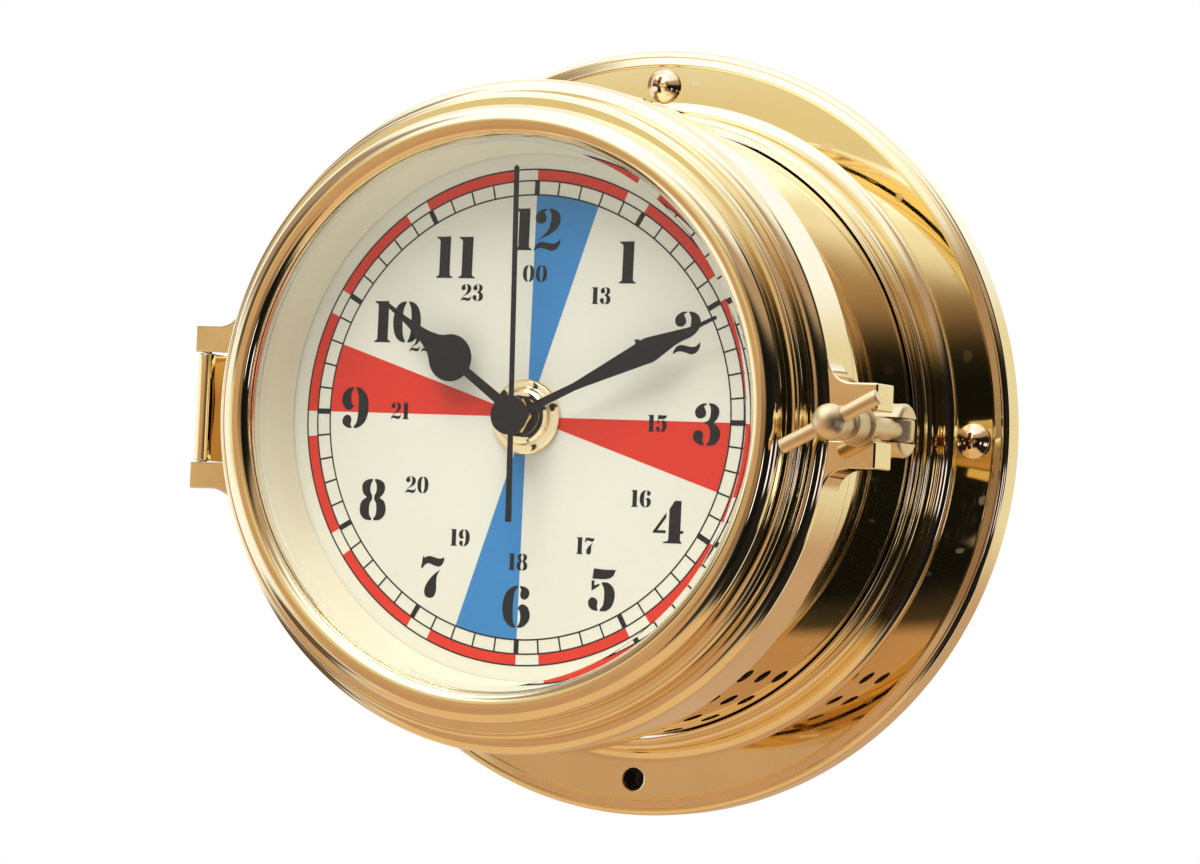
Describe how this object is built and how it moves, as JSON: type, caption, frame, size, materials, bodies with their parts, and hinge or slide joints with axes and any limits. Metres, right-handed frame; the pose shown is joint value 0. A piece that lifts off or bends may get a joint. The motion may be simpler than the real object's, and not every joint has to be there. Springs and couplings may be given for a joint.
{
  "type": "bulkhead radio-room quartz clock",
  "caption": "Round brass bulkhead clock with a flanged drum case, a hinged glazed bezel held by a swing bolt and T-bar nut, a white dial with red and blue sectors, and black hands.",
  "frame": {"origin": "centre of the circle of the mounting flange's back face, where it lies on the bulkhead", "axes": "+Y into the bulkhead, so the dial looks along -Y; +Z to 12 o'clock; +X to 3 o'clock"},
  "size_m": [0.1836, 0.1064, 0.18],
  "materials": {
    "lacquered_brass": "polished and lacquered",
    "steel": "plain",
    "copper_wire": "enamelled winding",
    "dial_white": "satin printed",
    "reflector_white": "satin",
    "hand_black": "satin",
    "screen_black": "matt",
    "clear_glass": "bevelled and polished",
    "black_rubber": "matt",
    "black_plastic": "fine grained",
    "white_plastic": "moulded",
    "board_green": "solder mask",
    "battery_wrap": "plain wrap"
  },
  "bodies": {
    "clock": {"mounting_flange": "lacquered_brass", "mounting_screw_top": "lacquered_brass", "mounting_screw_right": "lacquered_brass", "mounting_screw_left": "lacquered_brass", "case_drum": "lacquered_brass", "vent_screen": "screen_black", "dial_plate": "dial_white", "reflector_ring": "reflector_white", "hinge_bracket": "lacquered_brass", "hinge_pin": "steel", "clamp_bracket": "lacquered_brass", "clamp_pin": "steel", "movement_front": "black_plastic", "movement_rear": "black_plastic", "threaded_bush": "lacquered_brass", "rubber_washer": "black_rubber", "fixing_nut": "lacquered_brass", "battery": "battery_wrap", "battery_contact_plus": "steel", "battery_contact_minus": "steel", "circuit_board": "board_green", "quartz_crystal": "steel", "stator": "steel", "coil": "copper_wire"},
    "bezel": {"bezel_ring": "lacquered_brass", "glass": "clear_glass", "glass_gasket": "black_rubber", "glass_retaining_ring": "lacquered_brass"},
    "bolt": {"swing_bolt": "lacquered_brass"},
    "washer": {"clamp_washer": "lacquered_brass"},
    "nut": {"clamp_nut": "lacquered_brass", "clamp_bar": "lacquered_brass"},
    "hour": {"hour_hand": "hand_black", "hour_wheel": "white_plastic"},
    "minute": {"minute_hand": "hand_black", "hand_nut": "lacquered_brass", "minute_wheel": "white_plastic"},
    "second": {"second_hand": "hand_black", "hand_cap": "hand_black", "second_wheel": "white_plastic"},
    "third": {"third_wheel": "white_plastic"},
    "step": {"step_wheel": "white_plastic"},
    "rotor": {"motor_rotor": "steel"},
    "setting": {"motion_wheel": "white_plastic", "setting_knob": "white_plastic"}
  },
  "joints": [
    {"name": "bezel_hinge", "type": "hinge", "parent": "clock", "child": "bezel", "pos_m": [-0.081, -0.0753, 0], "axis": [0, 0, -1], "range_deg": [0, 120]},
    {"name": "bolt_swing", "type": "hinge", "parent": "clock", "child": "bolt", "pos_m": [0.082, -0.0551, 0], "axis": [0, 0, 1], "range_deg": [0, 95]},
    {"name": "nut_travel", "type": "slide", "parent": "bolt", "child": "washer", "axis": [0, -1, 0], "range_m": [0, 0.0024]},
    {"name": "nut_turn", "type": "hinge", "parent": "washer", "child": "nut", "pos_m": [0.082, -0.0938, 0], "axis": [0, -1, 0], "range_deg": [0, 1080]},
    {"name": "second_turn", "type": "hinge", "parent": "clock", "child": "second", "pos_m": [0, -0.079, 0], "axis": [0, 1, 0], "continuous": true},
    {"name": "third_turn", "type": "hinge", "parent": "clock", "child": "third", "pos_m": [0, -0.06044, 0.0085], "axis": [0, 1, 0], "continuous": true},
    {"name": "step_turn", "type": "hinge", "parent": "clock", "child": "step", "pos_m": [0.00811, -0.05714, 0.00217], "axis": [0, 1, 0], "continuous": true},
    {"name": "rotor_turn", "type": "hinge", "parent": "clock", "child": "rotor", "pos_m": [0.01363, -0.05844, 0.0068], "axis": [0, 1, 0], "continuous": true},
    {"name": "minute_turn", "type": "hinge", "parent": "clock", "child": "minute", "pos_m": [0, -0.0768, 0], "axis": [0, 1, 0], "continuous": true},
    {"name": "hour_turn", "type": "hinge", "parent": "clock", "child": "hour", "pos_m": [0, -0.0755, 0], "axis": [0, 1, 0], "continuous": true},
    {"name": "setting_turn", "type": "hinge", "parent": "clock", "child": "setting", "pos_m": [-0.00846, -0.05224, 0.00308], "axis": [0, 1, 0], "continuous": true}
  ],
  "couplings": [
    {"joint": "nut_turn", "follows": "nut_travel", "rad_per_m": 7854},
    {"joint": "third_turn", "follows": "second_turn", "ratio": -0.13333},
    {"joint": "step_turn", "follows": "second_turn", "ratio": -6},
    {"joint": "rotor_turn", "follows": "second_turn", "ratio": 30},
    {"joint": "hour_turn", "follows": "minute_turn", "ratio": 0.083333},
    {"joint": "setting_turn", "follows": "minute_turn", "ratio": -0.33333}
  ]
}
